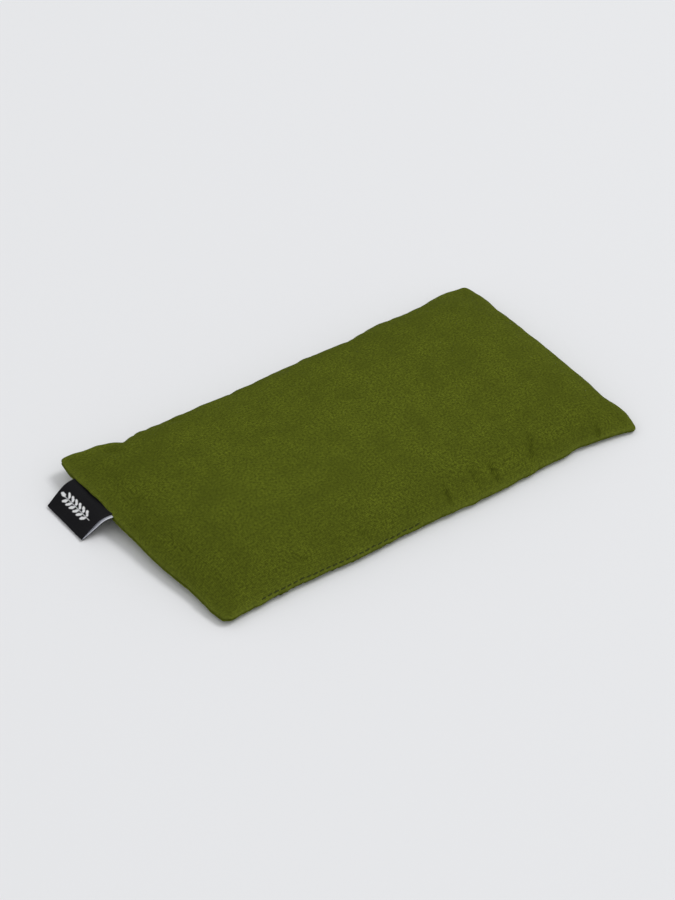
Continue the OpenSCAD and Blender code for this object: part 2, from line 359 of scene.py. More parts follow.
def gathers(side):
    """Small folds along the seams, as a height. The needle draws the edge into a fine wave that
    both panels share, and pinches each panel into short creases that run in from the seam."""
    height = np.zeros(fine_u.shape)
    sides = ((fine_u * half_length, half_width * (1 - fine_v), 11, 1.0),
             (fine_u * half_length, half_width * (1 + fine_v), 23, 0.9),
             (fine_v * half_width, half_length * (1 + fine_u), 37, 0.6),
             (fine_v * half_width, half_length * (1 - fine_u), 53, 0.6))
    for along, inward, seed, strength in sides:
        wave = wander(along, 3.6 * MM, seed) + 0.7 * wander(along, 8.5 * MM, seed + 1)
        pinch = wander(along, 4.6 * MM, seed + 2) + wander(along, 11 * MM, seed + 3)
        near = np.exp(-inward / (4.5 * MM))
        creased = (inward / (3 * MM)) * np.exp(1 - inward / (3 * MM))
        reach = 1 + 0.8 * wander(along, 9 * MM, seed + 4)
        creased = creased * np.exp(-inward / (6 * MM * np.maximum(reach, 0.3)))
        height += strength * MM * (0.22 * wave * near + side * 0.30 * pinch * creased)
    return height


def crease(x, y, start, end, depth, width):
    """A short sharp fold in the cloth, as a height: a bell-shaped groove along a line, which
    fades at both ends, with a lower and wider ridge standing on its far side."""
    start, end = np.array(start) * MM, np.array(end) * MM
    run = end - start
    length = np.linalg.norm(run)
    along = ((x - start[0]) * run[0] + (y - start[1]) * run[1]) / length**2
    off = ((x - start[0]) * run[1] - (y - start[1]) * run[0]) / length
    fade = np.clip(1.25 - np.abs(2 * along - 1), 0, 1)
    fade = fade * fade * (3 - 2 * fade)
    return fade * depth * MM * (0.25 * hump(off, -2.2 * width * MM, 1.6 * width * MM)
                                - hump(off, 0, width * MM))


# Each crease's start and end, in millimetres, then its depth and its width.
creases = (((10.3, -46.5), (10.5, -53.0), 1.9, 0.9), ((32.8, -45.0), (33.9, -53.0), 2.0, 0.9),
           ((24.6, -43.0), (24.2, -53.0), 1.2, 1.5), ((56.0, -41.0), (50.0, -52.0), 1.6, 1.5),
           ((85.2, -47.0), (84.3, -52.0), 1.8, 0.9), ((-31.5, -48.5), (-27.0, -52.0), 1.2, 0.9),
           ((-60.5, -46.8), (-55.0, -49.8), 1.2, 0.9), ((-84.5, 52.5), (-80.0, 40.0), 1.5, 2.6),
           ((-56.0, 51.0), (-50.5, 42.0), 0.8, 1.8), ((-23.0, 51.0), (-24.5, 44.0), 0.8, 1.3),
           ((4.0, 52.0), (0.0, 44.0), 0.8, 1.4), ((41.0, 53.0), (39.0, 46.5), 0.7, 1.3),
           ((-98.0, 14.0), (-89.0, 12.0), 0.7, 1.4), ((-97.0, -20.0), (-88.0, -23.0), 0.6, 1.4),
           ((98.0, 22.0), (90.5, 24.0), 0.6, 1.3), ((98.5, -18.0), (91.0, -16.0), 0.6, 1.3),
           ((-92.5, 44.0), (-93.5, 4.0), 0.6, 3.4))


def outer_face(bag, side):
    """The cloth's outer face over the settled bag. Along the seams the edge puckers out by a
    wandering line's size, less 0.45, and the lower panel rolls under at the front. The face is
    raised by the turned edge, which is round like a folded cloth, parted round the label,
    gathered and creased, and drawn in by the closing stitches to a groove and a wider hollow."""
    face = finer(bag, coarse_u, coarse_v, line_u, line_v)
    for axis, away, near, far, along, size in (
            (1, np.sign(fine_v), from_side, from_end, fine_u * half_length, 0.65 * MM),
            (0, np.sign(fine_u), from_end, from_side, fine_v * half_width, 0.22 * MM)):
        puckers = np.abs(wander(along + away, 5.6 * MM, 131 + axis)) - 0.45
        puckers *= hump(near, 0, 3 * MM) * np.clip(far / (9 * MM), 0, 1)
        face[..., axis] += away * size * puckers
    if side < 0:
        face[..., 1] += 0.6 * MM * hump(from_side, 0, 1.6 * MM) * (fine_v < 0)
    face[..., 2] += side * 0.09 * MM * lumps(face[..., 0], face[..., 1], 5.2 * MM, 61 + side)
    allowance = np.clip((6.3 * MM - from_seam) / (1.3 * MM), 0, 1)
    face[..., 2] += side * 0.16 * MM * allowance**2 * (3 - 2 * allowance)
    if side > 0:
        face[..., 2] += sum(crease(face[..., 0], face[..., 1], *line) for line in creases)
    turned = canvas_thick - np.minimum(from_seam, canvas_thick)
    edge = seam_gap / 2 + canvas_thick + np.sqrt(canvas_thick**2 - turned**2)
    at_label = hump(fine_v * half_width, hinge_y, 16 * MM) ** 4 * np.exp(-from_end / (5 * MM))
    parting = np.where(fine_u < 0, 0.42 * MM * np.minimum(1, 1.6 * at_label), 0)
    face[..., 2] += side * (edge + parting) + gathers(side)
    on_row = (fine_v < 0) * np.clip((face[..., 0] - closing_from) / (3 * MM), 0, 1)
    on_row = on_row * np.clip((closing_to - face[..., 0]) / (3 * MM), 0, 1)
    pull = 0.75 + 0.25 * np.cos(2 * np.pi * (face[..., 0] - closing_from) / stitch_pitch)
    drawn_in = hump(from_side, closing_inset, 0.7 * MM) * pull
    drawn_in += 0.5 * hump(from_side, 3.2 * MM, 2.6 * MM)
    face[..., 2] -= side * 0.26 * MM * on_row * drawn_in
    if side < 0:
        face[..., 2] = np.maximum(face[..., 2], 0.02 * MM)
    return face


top_face, bottom_face = outer_face(bag_top, 1), outer_face(bag_bottom, -1)


def rim_of(count_u, count_v):
    """The places of a grid's outer points, anticlockwise from its first corner."""
    index = np.arange(count_u * count_v).reshape(count_u, count_v)
    return np.concatenate([index[:-1, 0], index[-1, :-1], index[:0:-1, -1], index[0, :0:-1]])


def make_piece(name, points, faces, slot, body="pillow", **marks):
    """A smooth-shaded mesh piece with its number marks kept on its points, riding on a body.
    A mark named cloth or thread has two numbers, and becomes a UV map."""
    mesh = bpy.data.meshes.new(name)
    mesh.from_pydata(np.asarray(points).tolist(), [], [list(f) for f in faces])
    for key, values in marks.items():
        values = np.asarray(values, np.float32)
        if values.ndim == 2:
            corner = np.empty(len(mesh.loops), np.int32)
            mesh.loops.foreach_get("vertex_index", corner)
            mesh.uv_layers.new(name=key).data.foreach_set("uv", values[corner].ravel())
        else:
            mesh.attributes.new(key, "FLOAT", "POINT").data.foreach_set("value", values)
    mesh.shade_smooth()
    piece = bpy.data.objects.new(name, mesh)
    scene.collection.objects.link(piece)
    if body:
        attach(piece, body)
    return piece


def thicken(piece, thickness, offset=-1):
    """Gives a cloth its thickness: inwards from its face, or evenly about it where offset is 0."""
    wall = piece.modifiers.new("thickness", "SOLIDIFY")
    wall.thickness = thickness
    wall.offset = offset
    return wall


def panel(name, node, face, side):
    """One sewn panel. Its face is a grid; past the seam the cloth turns through a half circle
    and runs back inside, flat, as the seam allowance. Its marks fall off from the edge by powers
    of e: seam over 1.6 mm, and the weight of the painted edge shade over 24 mm."""
    nu, nv = fine_u.shape
    rim = rim_of(nu, nv)
    points = face.reshape(-1, 3)
    cut = np.stack([fine_u * cut_length / 2, fine_v * cut_width / 2], -1).reshape(-1, 2)
    seam = np.exp(-from_seam / (1.6 * MM)).ravel()
    # The weight of the painted shade: it falls off from each seam over 24 mm, and the two add up
    # in the corners.
    slack = (np.exp(-from_end / (24 * MM)) + np.exp(-from_side / (24 * MM))).ravel() / 2
    allowance = 6 * MM
    loops, cuts = [], []
    for inward, down in ((0.29 * canvas_thick, 0.71 * canvas_thick),
                         (canvas_thick, canvas_thick), (allowance, canvas_thick)):
        ring = points[rim].copy()
        keep = (1 - inward / half_length, 1 - inward / half_width)
        ring[:, 0] = middle_x + (ring[:, 0] - middle_x) * keep[0]
        ring[:, 1] *= keep[1]
        ring[:, 2] -= side * down
        loops.append(ring)
        cuts.append(cut[rim] * (1 + inward / half_width))
    rings = [rim] + [nu * nv + i * len(rim) + np.arange(len(rim)) for i in range(3)]
    turned = [np.stack([a, b, np.roll(b, -1), np.roll(a, -1)], -1)
              for a, b in zip(rings, rings[1:])]
    faces = np.concatenate([quads(np.arange(nu * nv).reshape(nu, nv))] + turned)
    faces = faces if side > 0 else faces[:, ::-1]
    piece = make_piece(name, np.concatenate([points] + loops), faces, "canvas",
                       cloth=np.concatenate([cut] + cuts) / MM,
                       seam=np.concatenate([seam, np.ones(3 * len(rim))]),
                       slack=np.concatenate([slack, np.tile(slack[rim], 3)]))
    thicken(piece, 0.9 * canvas_thick)
    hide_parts(node)
    return piece


def place(tree, kind, feeds=None, **settings):
    """Adds a node, gives it its settings, and fills its inputs from sockets or plain values."""
    made = tree.nodes.new(kind)
    for name, value in settings.items():
        setattr(made, name, value)
    for name, value in (feeds or {}).items():
        if isinstance(value, bpy.types.NodeSocket):
            tree.links.new(value, made.inputs[name])
        else:
            made.inputs[name].default_value = value
    return made


def sums(tree, operation, a, b=0.0):
    """The result of one arithmetic node."""
    return place(tree, "ShaderNodeMath", {0: a, 1: b}, operation=operation).outputs[0]


def noise(tree, vector, scale, detail, **more):
    """Soft random noise from 0 to 1: its lumps to the unit, and the finer octaves on them."""
    feeds = {"Vector": vector, "Scale": scale, "Detail": detail, **more}
    return place(tree, "ShaderNodeTexNoise", feeds).outputs["Fac"]


def plain_weave():
    """A node group that draws plain weave. Its vector counts threads along and across the cloth,
    and sways a little. Each thread is half a sine wave, and rises over every second one.
    Height is the cloth's surface, Gap is 1 between the threads, and Slub varies by thread."""
    tree = bpy.data.node_groups.new("plain_weave", "ShaderNodeTree")
    tree.interface.new_socket("Threads", in_out="INPUT", socket_type="NodeSocketVector")
    for name in ("Height", "Gap", "Slub"):
        tree.interface.new_socket(name, in_out="OUTPUT", socket_type="NodeSocketFloat")
    given = place(tree, "NodeGroupInput")
    sway = place(tree, "ShaderNodeTexNoise", {"Vector": given.outputs[0], "Scale": 0.09,
                                              "Detail": 2.0})
    swayed = place(tree, "ShaderNodeVectorMath", {0: sway.outputs["Color"], 1: (1.6, 1.6, 0.0)},
                   operation="MULTIPLY")
    moved = place(tree, "ShaderNodeVectorMath", {0: given.outputs[0], 1: swayed.outputs[0]})
    apart = place(tree, "ShaderNodeSeparateXYZ", {0: moved.outputs[0]})
    waves = [sums(tree, "SINE", sums(tree, "MULTIPLY", apart.outputs[i], math.pi)) for i in (0, 1)]
    both = sums(tree, "MULTIPLY", waves[0], waves[1])
    warp = sums(tree, "ADD", sums(tree, "ABSOLUTE", waves[0]), both)
    weft = sums(tree, "SUBTRACT", sums(tree, "ABSOLUTE", waves[1]), both)
    height = sums(tree, "MULTIPLY", sums(tree, "MAXIMUM", warp, weft), 0.5)
    gap = sums(tree, "SUBTRACT", 1.0, sums(tree, "POWER", height, 0.6))
    slubs = []
    for stretch, seed in (((0.9, 0.05, 1.0), 1.7), ((0.05, 0.9, 1.0), 8.3)):
        pulled = place(tree, "ShaderNodeVectorMath", {0: moved.outputs[0], 1: stretch},
                       operation="MULTIPLY")
        fibre = place(tree, "ShaderNodeTexNoise", {"Vector": pulled.outputs[0], "W": seed,
                                                   "Scale": 1.0, "Detail": 2.0},
                      noise_dimensions="4D")
        slubs.append(fibre.outputs["Fac"])
    on_top = sums(tree, "GREATER_THAN", warp, weft)
    slub = place(tree, "ShaderNodeMix", {"Factor": on_top, "A": slubs[1], "B": slubs[0]})
    place(tree, "NodeGroupOutput", {"Height": height, "Gap": gap, "Slub": slub.outputs[0]})
    return tree


weave = plain_weave()


def woven(tree, uv_name, pitch):
    """Places the weave in a material, counted along the piece's own UV map in millimetres."""
    flat = place(tree, "ShaderNodeUVMap", uv_map=uv_name)
    counted = place(tree, "ShaderNodeVectorMath", {0: flat.outputs[0], 1: (1 / pitch,) * 3},
                    operation="MULTIPLY")
    group = place(tree, "ShaderNodeGroup", node_tree=weave)
    tree.links.new(counted.outputs[0], group.inputs[0])
    return flat.outputs[0], group.outputs


def shade(tree, factor, low, high):
    """A colour between two, by a factor from 0 to 1."""
    low, high = [c if isinstance(c, bpy.types.NodeSocket) else (*c, 1) for c in (low, high)]
    feeds = {"Factor": factor, 6: low, 7: high}
    return place(tree, "ShaderNodeMix", feeds, data_type="RGBA").outputs[2]


def stretch_to(tree, value, low, high, to_low, to_high):
    """A value moved from one range to another along a straight line, and kept in the new one."""
    made = place(tree, "ShaderNodeMapRange", {"Value": value, "From Min": low, "From Max": high,
                                              "To Min": to_low, "To Max": to_high})
    return made.outputs[0]


def new_material(name):
    """A new material, with its node tree and its one surface shader."""
    made = bpy.data.materials.new(name)
    made.use_nodes = True
    return made, made.node_tree, made.node_tree.nodes["Principled BSDF"]


def cover_with(tree, shader, colour, roughness, height, strength, depth):
    """Feeds a surface shader with a colour, a roughness, and a height as a bump of a depth."""
    bump = place(tree, "ShaderNodeBump", {"Height": height, "Strength": strength,
                                          "Distance": depth})
    tree.links.new(colour, shader.inputs["Base Color"])
    tree.links.new(roughness, shader.inputs["Roughness"])
    tree.links.new(bump.outputs[0], shader.inputs["Normal"])


def canvas_cloth():
    """Olive canvas: dark between the threads, lighter on their crowns, thick and thin yarns, dark
    and light fibres, cloudy dye, painted shade that darkens it towards the seams and most in the
    corners, and paler where the turned edge is rubbed."""
    made, tree, shader = new_material("olive_canvas")
    flat, (height, gap, slub) = woven(tree, "cloth", 0.64)
    body = place(tree, "ShaderNodeTexCoord").outputs["Object"]
    clouds = noise(tree, body, 80.0, 5.0, Roughness=0.72)
    fibres = noise(tree, flat, 1.15, 2.0, Roughness=0.5, Distortion=0.3)
    specks = noise(tree, flat, 0.62, 5.0, Roughness=0.8)
    lit = stretch_to(tree, slub, 0.32, 0.68, 0.0, 1.0)
    colour = shade(tree, lit, (0.130, 0.162, 0.0129), (0.167, 0.207, 0.0179))
    colour = shade(tree, sums(tree, "MULTIPLY", gap, 0.8), colour, (0.030, 0.036, 0.0042))
    fibre = stretch_to(tree, fibres, 0.34, 0.64, 0.86, 0.0)
    colour = shade(tree, fibre, colour, (0.044, 0.053, 0.0055))
    cloudy = stretch_to(tree, clouds, 0.38, 0.62, 0.0, 0.52)
    colour = shade(tree, cloudy, colour, (0.060, 0.074, 0.0070))
    # Painted shade: the cloth is darkened towards the seams, and most in the corners.
    slack = place(tree, "ShaderNodeAttribute", attribute_name="slack").outputs["Fac"]
    colour = shade(tree, sums(tree, "MULTIPLY", slack, 0.33), colour, (0.044, 0.053, 0.0055))
    speck = stretch_to(tree, specks, 0.58, 0.66, 0.0, 0.5)
    colour = shade(tree, speck, colour, (0.034, 0.033, 0.0065))
    rubbed = place(tree, "ShaderNodeAttribute", attribute_name="seam").outputs["Fac"]
    patchy = stretch_to(tree, specks, 0.3, 0.7, 0.5, 0.1)
    rubbed = sums(tree, "MULTIPLY", rubbed, patchy)
    colour = shade(tree, rubbed, colour, (0.165, 0.200, 0.028))
    shader.inputs["Specular IOR Level"].default_value = 0.01
    fuzz = sums(tree, "ADD", height, sums(tree, "MULTIPLY", fibres, 1.5))
    cover_with(tree, shader, colour, stretch_to(tree, height, 0.0, 1.0, 0.98, 0.85),
               fuzz, 0.7, 0.16 * MM)
    return made


canvas = canvas_cloth()
cover_top = panel("canvas_top", "cover_top", top_face, 1)
cover_bottom = panel("canvas_bottom", "cover_bottom", bottom_face, -1)
for cover in (cover_top, cover_bottom):
    cover.data.materials.append(canvas)


# --------------------------------------------
# The cover's thread: dark green spun polyester. A lockstitch runs round the turned seam,
# hidden between the allowances. The closing row on the front side shows on both faces.


def tubes(paths, ups, radius, sides, closed=False):
    """Thread along many paths at once. paths is (how many, points, 3). Around each point stands
    a ring, in the plane of the path's up direction and the one across it. Open ends are shut."""
    many, count, _ = paths.shape
    if closed:
        ahead = np.roll(paths, -1, 1) - np.roll(paths, 1, 1)
    else:
        ahead = np.gradient(paths, axis=1)
    ahead /= np.linalg.norm(ahead, axis=2, keepdims=True)
    across = np.cross(ahead, ups)
    across /= np.linalg.norm(across, axis=2, keepdims=True)
    upright = np.cross(across, ahead)
    turn = 2 * np.pi * np.arange(sides) / sides
    ring = across[:, :, None] * np.cos(turn)[:, None] + upright[:, :, None] * np.sin(turn)[:, None]
    points = (paths[:, :, None] + radius * ring).reshape(-1, 3)
    index = np.arange(many * count * sides).reshape(many, count, sides)
    follow = np.roll(index, -1, 1) if closed else index[:, 1:]
    first = index if closed else index[:, :-1]
    faces = np.stack([first, np.roll(first, -1, 2), np.roll(follow, -1, 2), follow], -1)
    faces = faces.reshape(-1, 4).tolist()
    if not closed:
        faces += index[:, 0, ::-1].tolist() + index[:, -1].tolist()
    length = np.linalg.norm(np.diff(paths, axis=1, prepend=paths[:, :1]), axis=2).cumsum(1) / MM
    along = np.repeat(length[:, :, None], sides, 2)
    around = np.broadcast_to(np.arange(sides) / sides, along.shape)
    return points, faces, np.stack([along, around], -1).reshape(-1, 2)


def twisted_thread(name, dark, light):
    """Two plies wound round each other: a slanting sine along and around the thread."""
    made, tree, shader = new_material(name)
    flat = place(tree, "ShaderNodeUVMap", uv_map="thread").outputs[0]
    apart = place(tree, "ShaderNodeSeparateXYZ", {0: flat})
    slant = sums(tree, "ADD", sums(tree, "MULTIPLY", apart.outputs[0], 1.4), apart.outputs[1])
    ply = sums(tree, "SINE", sums(tree, "MULTIPLY", slant, 4 * math.pi))
    fibre = noise(tree, flat, 9.0, 3.0)
    mixed = sums(tree, "ADD", stretch_to(tree, ply, -1, 1, 0, 0.7),
                 sums(tree, "MULTIPLY", fibre, 0.3))
    shader.inputs["Specular IOR Level"].default_value = 0.12
    cover_with(tree, shader, shade(tree, mixed, dark, light),
               stretch_to(tree, mixed, 0, 1, 0.75, 0.5), ply, 0.5, 0.05 * MM)
    return made


def look_up(face, at_u, at_v):
    """Points of a face, and its upward normals, at places given in the cloth's own u and v."""
    def value(grid, u, v):
        i = np.clip(np.searchsorted(line_u, u) - 1, 0, len(line_u) - 2)
        j = np.clip(np.searchsorted(line_v, v) - 1, 0, len(line_v) - 2)
        a = ((u - line_u[i]) / (line_u[i + 1] - line_u[i]))[..., None]
        b = ((v - line_v[j]) / (line_v[j + 1] - line_v[j]))[..., None]
        return ((1 - a) * (1 - b) * grid[i, j] + a * (1 - b) * grid[i + 1, j]
                + (1 - a) * b * grid[i, j + 1] + a * b * grid[i + 1, j + 1])
    here = value(face, at_u, at_v)
    along = value(face, at_u + 0.004, at_v) - value(face, at_u - 0.004, at_v)
    across = value(face, at_u, at_v + 0.006) - value(face, at_u, at_v - 0.006)
    normal = np.cross(along, across)
    return here, normal / np.linalg.norm(normal, axis=-1, keepdims=True)


def closing_row(name, node, face, side):
    """The stitches of the closing row on one face: each rises out of its needle hole, lies on
    the cloth and dives into the next, as a fourth-power arch, and wanders a little off the
    line. The lower row runs further in, and stays above the table."""
    count = round((closing_to - closing_from) / stitch_pitch)
    centre = closing_from + stitch_pitch * (np.arange(count) + 0.5)
    step = np.linspace(-1, 1, 13)
    half_stitch, below_further_in = 1.14 * MM, 1.4 * MM
    x = centre[:, None] + step * half_stitch - middle_x
    inset = closing_inset + 0.16 * MM * wander(centre, 3 * MM, 71)[:, None] + 0.10 * MM * step
    inset += below_further_in * (side < 0)
    here, normal = look_up(face, x / half_length, -1 + inset / half_width + 0 * x)
    radius = 0.19 * MM
    arch = radius * (0.75 - 2.4 * step**4)
    paths = here + side * normal * arch[:, None]
    paths[..., 2] = np.maximum(paths[..., 2], radius)
    points, faces, uv = tubes(paths, side * normal, radius, 8)
    piece = make_piece(name, points, faces, "cover_thread", thread=uv)
    piece.data.materials.append(green_thread)
    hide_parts(node)
    return piece


def running_seam(name, node, line, material, slot, radius, swing):
    """A lockstitch seen as one thread: it follows a closed line and swings above and below it
    once in every stitch, as a cosine of the distance run."""
    run = np.linalg.norm(np.roll(line, -1, 0) - line, axis=1)
    total = run.sum()
    stitches = round(total / stitch_pitch)
    along = np.concatenate([[0], run.cumsum()])
    at = np.linspace(0, total, stitches * 6, endpoint=False)
    shut = np.concatenate([line, line[:1]])
    path = np.stack([np.interp(at, along, shut[:, k]) for k in range(3)], -1)
    path[:, 2] += swing * np.cos(2 * np.pi * stitches * at / total)
    points, faces, uv = tubes(path[None], np.array([0, 0, 1.0]), radius, 6, closed=True)
    piece = make_piece(name, points, faces, slot, thread=uv)
    piece.data.materials.append(material)
    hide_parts(node)
    return piece


green_thread = twisted_thread("green_thread", (0.018, 0.022, 0.0040), (0.044, 0.054, 0.0095))
closing_row("closing_stitches_top", "closing_needle_thread", top_face, 1)
closing_row("closing_stitches_under", "closing_bobbin_thread", bottom_face, -1)
rim = rim_of(*fine_u.shape)
seam_line = (top_face.reshape(-1, 3)[rim] + bottom_face.reshape(-1, 3)[rim])[::2] / 2
inside = seam_line - (middle_x, 0, 0)
inside *= (1 - 1.2 * MM / half_length, 1 - 1.2 * MM / half_width, 1)
running_seam("seam_lockstitch", "cover_seam_thread", inside + (middle_x, 0, 0), green_thread,
             "cover_thread", 0.2 * MM, 0.3 * MM)


# --------------------------------------------
# The label: black woven ribbon with a pale reverse, folded in half. Both ends are caught in
# the seam, and the loop stands out and hangs down to the table. It flexes where it leaves it.

label_low, label_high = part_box("label_loop")
label_width = label_high.y - label_low.y
# The loop's length outside the seam, the part of each end inside it, and how far the middle
# line stays above the table at the fold.
label_length, tuck, fold_height = 15.5 * MM, 5.5 * MM, 1.0 * MM


def ribbon_line(count):
    """The ribbon's middle line from the seam outwards: it leaves level and turns down smoothly,
    by an angle that grows as a smooth step. The angle is the one that ends just off the table."""
    s = np.linspace(0, label_length, count)
    t = np.clip((s - 0.5 * MM) / (7.5 * MM), 0, 1)
    ease = t * t * (3 - 2 * t)
    angles = np.radians(np.linspace(20, 75, 56))
    falls = np.sin(angles[:, None] * ease).mean(1) * label_length
    angle = np.interp(hinge_z - fold_height, falls, angles) * ease
    step = s[1] - s[0]
    out = np.concatenate([[0], (np.cos(angle[1:]) * step).cumsum()])
    down = np.concatenate([[0], (np.sin(angle[1:]) * step).cumsum()])
    return s, out, down, angle


def label_mark(y, s):
    """The woven motif, a plain sprig lying along the fold: a stem, and pairs of leaf shapes, each
    an ellipse turned away from the stem. Drawn in square woven steps. 1 is the pale thread."""
    pick = 0.28 * MM
    a = (np.floor(y / pick) + 0.5) * pick / MM
    b = (np.floor(s / pick) + 0.5) * pick / MM - 8.2
    mark = (np.abs(b) < 0.2) & (np.abs(a) < 9.5)
    for centre in np.linspace(-7.0, 6.2, 6):
        for way in (-1, 1):
            turn = way * math.radians(38)
            da, db = a - centre - 1.1, b - way * 1.35
            p = da * math.cos(turn) + db * math.sin(turn)
            q = -da * math.sin(turn) + db * math.cos(turn)
            mark |= (p / 1.55) ** 2 + (q / 0.62) ** 2 < 1
    mark |= ((a - 10.2) / 1.6) ** 2 + (b / 0.7) ** 2 < 1
    return mark.astype(float)


def ribbon():
    """The whole folded ribbon on a grid: from one sewn-in end over the upper leg, round the fold,
    and back under it to the other. The legs lie apart by a gap that opens towards the fold, and
    the lower leg runs a little askew, so its edge shows past the upper one. The ribbon draws in
    towards the fold, where its edges curl."""
    leg_count, tuck_count = 64, 14
    s, out, down, angle = ribbon_line(leg_count)
    at_seam = np.full(1, -0.9995), np.full(1, hinge_y / half_width)
    root, low_root = look_up(top_face, *at_seam)[0][0], look_up(bottom_face, *at_seam)[0][0]
    start_x, start_z = root[0] + 0.3 * MM, (root[2] + low_root[2]) / 2
    down = down * (start_z - fold_height) / (hinge_z - fold_height)
    half_gap = 0.26 * MM + 0.30 * MM * np.sin(np.pi * np.clip(s / label_length, 0, 1) * 0.9) ** 2
    legs = []
    for way in (1, -1):
        x = start_x - out - way * half_gap * np.sin(angle)
        z = start_z - down + way * half_gap * np.cos(angle)
        legs.append(np.stack([x, z], -1))
    tip_gap = half_gap[-1]
    turn = np.linspace(0, np.pi, 13)[1:-1]
    tip = np.stack([start_x - out[-1] - tip_gap * np.sin(angle[-1] + turn),
                    start_z - down[-1] + tip_gap * np.cos(angle[-1] + turn)], -1)
    inner = np.linspace(tuck, 0.3 * MM, tuck_count)
    ends = [np.stack([start_x + inner, np.full(tuck_count, start_z + way * half_gap[0])], -1)
            for way in (1, -1)]
    line = np.concatenate([ends[0], legs[0], tip, legs[1][::-1], ends[1][::-1]])
    run = np.concatenate([[0], np.linalg.norm(np.diff(line, axis=0), axis=1).cumsum()])
    fold = run[tuck_count + leg_count + len(turn) // 2]
    across = np.linspace(-label_width / 2, label_width / 2, 115)
    past = np.clip(run - fold, 0, None) / (fold - run[0])
    askew = -1.3 * MM * np.clip(past * 1.6, 0, 1)
    cup = 0.18 * MM * (across / (label_width / 2)) ** 4
    line = np.repeat(line[:, None], len(across), 1)
    points = np.empty((*line.shape[:2], 3))
    outside = np.clip((start_x - line[..., 0]) / (4 * MM), 0, 1)
    reached = np.clip((start_x - line[..., 0]) / out[-1], 0, 1)
    points[..., 0] = line[..., 0]
    points[..., 1] = hinge_y + across * (1 - 0.065 * reached) + askew[:, None]
    points[..., 2] = line[..., 1] + outside * (cup + 0.12 * MM * wander(across, 9 * MM, 90))
    over, along = np.meshgrid(across, run)
    mark = label_mark(over, along - tuck) * (along - tuck < label_length)
    edge = hump(np.abs(over), label_width / 2, 0.5 * MM)
    uv = np.stack([over, along], -1) / MM
    index = np.arange(points[..., 0].size).reshape(points.shape[:2])
    faces = np.stack([index[:-1, :-1], index[:-1, 1:], index[1:, 1:], index[1:, :-1]], -1)
    piece = make_piece("woven_label", points.reshape(-1, 3), faces.reshape(-1, 4).tolist(),
                       "woven_label", body=None, cloth=uv.reshape(-1, 2), mark=mark.ravel(),
                       selvedge=edge.ravel())
    thicken(piece, 0.28 * MM, offset=0).material_offset = 1
    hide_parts("label_ends", "label_loop")
    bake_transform(piece)
    return piece


def ribbon_cloth(name, ground, ground_light, figure):
    """Close damask weave: a fine plain ground, with the motif's threads floating over it."""
    made, tree, shader = new_material(name)
    flat, (height, gap, slub) = woven(tree, "cloth", 0.24)
    mark = place(tree, "ShaderNodeAttribute", attribute_name="mark").outputs["Fac"]
    edge = place(tree, "ShaderNodeAttribute", attribute_name="selvedge").outputs["Fac"]
    fibre = noise(tree, flat, 2.2, 3.0)
    colour = shade(tree, stretch_to(tree, slub, 0.3, 0.7, 0.0, 1.0), ground, ground_light)
    white = shade(tree, fibre, figure, tuple(0.8 * c for c in figure))
    colour = shade(tree, sums(tree, "MULTIPLY", gap, 0.6), colour, tuple(0.4 * c for c in ground))
    white = shade(tree, sums(tree, "MULTIPLY", gap, 0.35), white, tuple(0.5 * c for c in figure))
    colour = shade(tree, mark, colour, white)
    worn = tuple(1.6 * c for c in ground_light)
    colour = shade(tree, sums(tree, "MULTIPLY", edge, 0.5), colour, worn)
    shader.inputs["Specular IOR Level"].default_value = 0.10
    raised = sums(tree, "ADD", sums(tree, "MULTIPLY", height, 0.5), mark)
    cover_with(tree, shader, colour, stretch_to(tree, height, 0.0, 1.0, 0.7, 0.45),
               raised, 0.5, 0.08 * MM)
    return made


label = ribbon()
label.data.materials.append(ribbon_cloth("label_face", (0.0030, 0.0030, 0.0040),
                                         (0.0065, 0.0065, 0.0085), (0.86, 0.87, 0.88)))
label.data.materials.append(ribbon_cloth("label_reverse", (0.42, 0.43, 0.47),
                                         (0.60, 0.62, 0.68), (0.42, 0.43, 0.47)))


# --------------------------------------------
# The inner bag: two panels of thin unbleached calico, sewn flat with the allowance left
# outside, which keeps the grain in when the cover's seam gives. It fills the cover loosely.


def inner_face(side, inset, clearance, flat_from, floor_gap):
    """A layer inside the cover, whose edge is an inset in from the cover's. Inside the stitch
    line, which runs flat_from in from that edge, it follows the cover's settled face at a
    clearance, easing to the line; outside it lies flat, floor_gap off the seam sheet."""
    u, v = np.meshgrid(seam_lines(half_length, 1.6 * MM), seam_lines(half_width, 1.6 * MM),
                       indexing="ij")
    cu, cv = u * (1 - inset / half_length), v * (1 - inset / half_width)
    cover = top_face if side > 0 else bottom_face
    here, _ = look_up(cover, cu, cv)
    x, y, z = seam_sheet(cu, cv)
    from_line = np.minimum((half_length - inset) * (1 - np.abs(u)),
                           (half_width - inset) * (1 - np.abs(v))) - flat_from
    t = np.clip(from_line / (9 * MM), 0, 1)
    ease = np.sqrt(np.clip(t * (2 - t), 0, 1))
    swollen = here[..., 2] - side * (canvas_thick + clearance) - z
    height = z + side * floor_gap + np.where(side * swollen > 0, swollen, 0) * ease
    return np.stack([here[..., 0], here[..., 1], height], -1), u, v


def calico_cloth():
    """Unbleached calico: cream, with brown seed flecks and slubs."""
    made, tree, shader = new_material("calico")
    flat, (height, gap, slub) = woven(tree, "cloth", 0.4)
    flecks = noise(tree, flat, 0.9, 2.0)
    colour = shade(tree, slub, (0.72, 0.66, 0.53), (0.80, 0.75, 0.63))
    colour = shade(tree, sums(tree, "MULTIPLY", gap, 0.5), colour, (0.42, 0.36, 0.26))
    fleck = stretch_to(tree, flecks, 0.68, 0.74, 0.0, 0.8)
    colour = shade(tree, fleck, colour, (0.28, 0.17, 0.08))
    cover_with(tree, shader, colour, stretch_to(tree, height, 0.0, 1.0, 0.95, 0.85),
               height, 0.5, 0.1 * MM)
    return made


